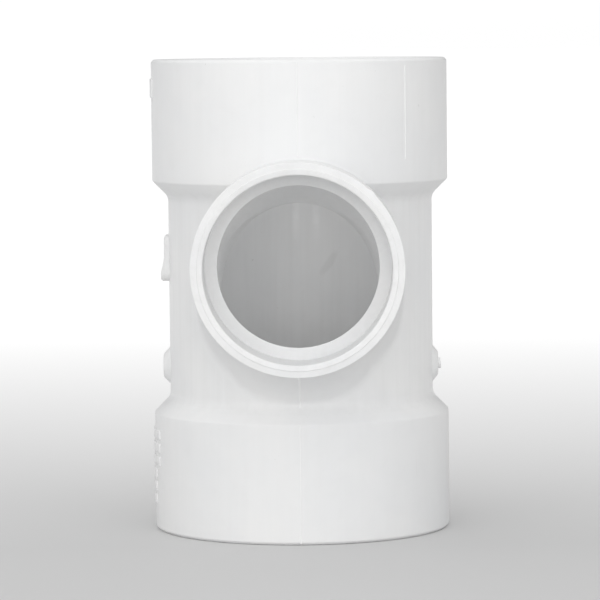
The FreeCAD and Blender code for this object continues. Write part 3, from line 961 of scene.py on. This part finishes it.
# ----------------------------------------------------------------------------------------------
# Parting ridges. The thin flash that the two halves of the mould leave down the front and the
# back of the run: sharp, a little uneven, and with a thicker tab where it reaches a rim.
# ----------------------------------------------------------------------------------------------

FLASH_WIDTH = 0.55 * MM
FLASH_PROUD = 0.24 * MM
FLASH_BURIED = 0.6 * MM
FLASH_STEP = 0.8 * MM
WANDER = 0.10 * MM
UNEVEN_SCALE = 3.0 * MM
CREST_SHARE = 0.35
CREST_WEAR = 0.8
CREST_LEVEL = 0.15


def pick_edges(piece, wanted):
    """Open a piece in edit mode with the edges selected whose ends pass a test."""
    edit(piece)
    bpy.ops.object.mode_set(mode="OBJECT")
    points = piece.data.vertices
    for edge in piece.data.edges:
        start, end = (points[index].co for index in edge.vertices)
        edge.select = wanted(start, end)
    bpy.ops.object.mode_set(mode="EDIT")


def flash(name, low_end, high_end, wall, azimuth, width=FLASH_WIDTH, proud=FLASH_PROUD):
    """A fine uneven ridge up a wall, sharper at its crest than at its foot."""
    start_afresh()
    length = high_end - low_end
    depth = FLASH_BURIED + proud
    bpy.ops.mesh.primitive_cube_add(
        size=1, location=(wall - FLASH_BURIED + depth / 2, 0, low_end + length / 2),
        scale=(depth, width, length))
    piece = bpy.context.object
    piece.name = name
    bpy.ops.object.transform_apply(location=True, rotation=True, scale=True)
    pick_edges(piece, lambda start, end: abs(start.z - end.z) > length / 2)
    bpy.ops.mesh.subdivide(number_cuts=int(length / FLASH_STEP))
    pick_edges(piece, lambda start, end: min(start.x, end.x) > wall)
    bpy.ops.transform.resize(value=(1, CREST_SHARE, 1), center_override=(wall, 0, 0))
    start_afresh()
    unevenness = bpy.data.textures.new(f"{name}_unevenness", "CLOUDS")
    unevenness.noise_scale = UNEVEN_SCALE
    wander = piece.modifiers.new("wander", "DISPLACE")
    wander.texture = unevenness
    wander.texture_coords = "GLOBAL"
    wander.direction = "Y"
    wander.strength = WANDER
    piece.select_set(True)
    bpy.context.view_layer.objects.active = piece
    bpy.ops.object.modifier_apply(modifier=wander.name)
    crest = piece.modifiers.new("crest", "DISPLACE")
    crest.texture = unevenness
    crest.texture_coords = "GLOBAL"
    crest.direction = "X"
    crest.strength = -proud * CREST_WEAR
    crest.mid_level = CREST_LEVEL
    bpy.ops.object.modifier_apply(modifier=crest.name)
    bpy.ops.object.mode_set(mode="EDIT")
    bpy.ops.mesh.select_all(action="SELECT")
    bpy.ops.transform.rotate(
        value=-math.radians(azimuth), orient_axis="Z", center_override=(0, 0, 0))
    start_afresh()
    return piece


FRONT = -90
BACK = 90
CROWN_GAP = 1.0 * MM
TAB_FOOT = 0.5 * MM
TAB_HEAD = 3.2 * MM
TAB_WIDTH = 0.9 * MM
TAB_PROUD = 0.3 * MM
FLASH_PAINTED_HIGHLIGHT = 0.7
crown = branch_axis + branch_radius
flash_list = [
    flash("flash_front_lower", foot + RIM_BEVEL, LOWER_EDGE, hub_radius, FRONT),
    flash("flash_front_upper", crown + CROWN_GAP, head - RIM_BEVEL, hub_radius, FRONT),
    flash("flash_back_lower", foot + RIM_BEVEL, LOWER_EDGE, hub_radius, BACK),
    flash("flash_back_barrel", barrel_foot, barrel_head, barrel_radius, BACK),
    flash("flash_back_upper", UPPER_EDGE, head - RIM_BEVEL, hub_radius, BACK),
    flash("flash_tab", foot + TAB_FOOT, foot + TAB_HEAD, hub_radius, FRONT, TAB_WIDTH, TAB_PROUD),
]
mould_flash = join(flash_list, "mould_flash")
smooth(mould_flash, 40)
pvc_flash_painted_highlight = white_pvc("pvc_flash_painted_highlight")
# The flash's colour is lightened towards white: a painted highlight standing in for light
# catching the ridge.
pvc_flash_painted_highlight.colour = pvc_flash_painted_highlight.blend(FLASH_PAINTED_HIGHLIGHT, pvc_flash_painted_highlight.colour, PAINTED_LIGHT_WHITE)
pvc_flash_painted_highlight.feed(pvc_flash_painted_highlight.shader.inputs["Base Color"], pvc_flash_painted_highlight.colour)
finish_piece(mould_flash, pvc_flash_painted_highlight, "parting_ridges")

# ----------------------------------------------------------------------------------------------
# Branch flash. The same closing line of the mould, under the branch: along the bottom of its
# socket and down the throat's web to the barrel.
# ----------------------------------------------------------------------------------------------

UNDERSIDE = -math.pi / 2
BRANCH_FLASH_WIDTH = 0.8 * MM
BRANCH_FLASH_PROUD = 0.22 * MM
BRANCH_FLASH_BURIED = 0.1 * MM
BRANCH_CREST_SHARE = 0.25
FLASH_START = mouth_reach - 0.6 * MM
RING_STEP = 4 * MARCH
RING_STEPS = 14
throat_line = walk_to_run(UNDERSIDE)
ring_line = [
    Vector((0, RING_STEP * step - FLASH_START, branch_axis - branch_radius))
    for step in range(RING_STEPS)]
flash_rows = []
for point in [place for place in ring_line if place.y < branch_stop] + throat_line:
    if point.y < branch_stop - SAME_PLACE:
        way_out = Vector((0, 0, -1))
    else:
        way_out = facing(joined_gap, point)
    half = Vector((BRANCH_FLASH_WIDTH / 2, 0, 0))
    root = point - way_out * BRANCH_FLASH_BURIED
    crest = point + way_out * BRANCH_FLASH_PROUD
    half_crest = half * BRANCH_CREST_SHARE
    flash_rows.append([root - half, root + half, crest + half_crest, crest - half_crest])
branch_flash = loft("branch_flash", flash_rows)
smooth(branch_flash, 40)
# The same lightened finish, with its painted highlight.
finish_piece(branch_flash, pvc_flash_painted_highlight)

# ----------------------------------------------------------------------------------------------
# Witness line. A fainter line up the right of the upper hub, where two inserts of the mould
# meet. It is only a hair proud of the wall and stops short of the rim and the shoulder.
# ----------------------------------------------------------------------------------------------

WITNESS_AZIMUTH = -45
WITNESS_LOW = 125.0 * MM
WITNESS_HIGH = 155.7 * MM
WITNESS_WIDTH = 0.5 * MM
WITNESS_PROUD = 0.22 * MM
insert_line = flash(
    "insert_line", WITNESS_LOW, WITNESS_HIGH, hub_radius, WITNESS_AZIMUTH,
    WITNESS_WIDTH, WITNESS_PROUD)
smooth(insert_line, 40)
# The same lightened finish, with its painted highlight.
finish_piece(insert_line, pvc_flash_painted_highlight)

# ----------------------------------------------------------------------------------------------
# Floor, light and camera. A pale floor that glows behind the fitting, a white sky and three
# soft lights in front, and the camera a little above the fitting, looking at its branch.
# ----------------------------------------------------------------------------------------------

FLOOR_SIZE = 60.0
FLOOR_GAP = 0.05 * MM
FLOOR_GREY = (0.62, 0.62, 0.62, 1)
FLOOR_ROUGHNESS = 0.7
FLOOR_GLOW = 0.5
GLOW_START = -0.05
GLOW_FULL = 0.8
bpy.ops.mesh.primitive_plane_add(size=FLOOR_SIZE, location=(0, 0, foot - FLOOR_GAP))
floor = bpy.context.object
floor.name = "studio_floor"
floor_finish = Finish("pale_floor")
floor_place = floor_finish.place()
floor_depth = floor_finish.node(
    "ShaderNodeSeparateXYZ", {}, {"Vector": floor_place}, output=1)
floor_finish.feed(floor_finish.shader.inputs["Emission Color"], floor_finish.blend(
    floor_depth.between(GLOW_START, GLOW_FULL), (0, 0, 0, 1), (1, 1, 1, 1)))
floor_finish.shader.inputs["Emission Strength"].default_value = FLOOR_GLOW
floor_finish.shader.inputs["Base Color"].default_value = FLOOR_GREY
floor_finish.shader.inputs["Roughness"].default_value = FLOOR_ROUGHNESS
floor.data.materials.append(floor_finish.material)

SKY_ABOVE = 1.03
SKY_AHEAD = 0.66
SKY_LEFT = 0.22
HAZE = 1.0
HAZE_TOP = 0.06
HAZE_FULL = 0.015
world = bpy.data.worlds.new("studio")
bpy.context.scene.world = world
world.use_nodes = True


class Sky(Finish):
    """The studio's white surround, made with the same methods as a material."""

    def __init__(self, world):
        self.tree = world.node_tree
        self.shader = self.tree.nodes["Background"]


sky = Sky(world)
sky_way = sky.node("ShaderNodeTexCoord", {}, {}, output="Generated")
sky_x, sky_y, sky_z = (
    sky.node("ShaderNodeSeparateXYZ", {}, {"Vector": sky_way}, output=axis) for axis in range(3))
sky_light = (sky_z.math("MAXIMUM", 0.0) * SKY_ABOVE
             + (sky_y * -1.0).math("MAXIMUM", 0.0) * SKY_AHEAD
             + (sky_x * -1.0).math("MAXIMUM", 0.0) * SKY_LEFT
             + sky_z.between(HAZE_TOP, HAZE_FULL) * HAZE)
sky.shader.inputs["Color"].default_value = (1.0, 1.0, 1.0, 1.0)
sky.feed(sky.shader.inputs["Strength"], sky_light)


def softbox(name, location, aim, size, power):
    """A square soft light that faces a point."""
    light = bpy.data.lights.new(name, "AREA")
    light.shape = "SQUARE"
    light.size = size
    light.energy = power
    lamp = bpy.data.objects.new(name, light)
    bpy.context.scene.collection.objects.link(lamp)
    lamp.location = location
    way = Vector(aim) - Vector(location)
    lamp.rotation_euler = way.to_track_quat("-Z", "Y").to_euler()
    return lamp


middle = Vector((0, 0, (foot + head) / 2))
softbox("front_light", (0.0, -1.9, 0.35), middle, size=0.7, power=4.0)
softbox("left_light", (-0.9, -1.5, 0.55), middle, size=0.8, power=2.2)
softbox("right_light", (0.9, -1.5, 0.55), middle, size=0.8, power=2.5)

bpy.context.scene.view_settings.view_transform = "Standard"
bpy.context.scene.view_settings.look = "None"

CAMERA_PLACE = Vector((0.0156, -1.186, 0.1668))
CAMERA_AIM = Vector((-0.0003, 0.0, 0.0764))
CAMERA_ROLL = math.radians(-0.563)
CAMERA_LENS = 211.1
SENSOR_WIDTH = 36.0
camera_data = bpy.data.cameras.new("camera")
camera_data.lens = CAMERA_LENS
camera_data.sensor_width = SENSOR_WIDTH
camera = bpy.data.objects.new("camera", camera_data)
bpy.context.scene.collection.objects.link(camera)
camera.location = CAMERA_PLACE
level = (CAMERA_AIM - CAMERA_PLACE).to_track_quat("-Z", "Y").to_matrix()
camera.rotation_euler = (level @ Matrix.Rotation(CAMERA_ROLL, 3, "Z")).to_euler()
bpy.context.scene.camera = camera
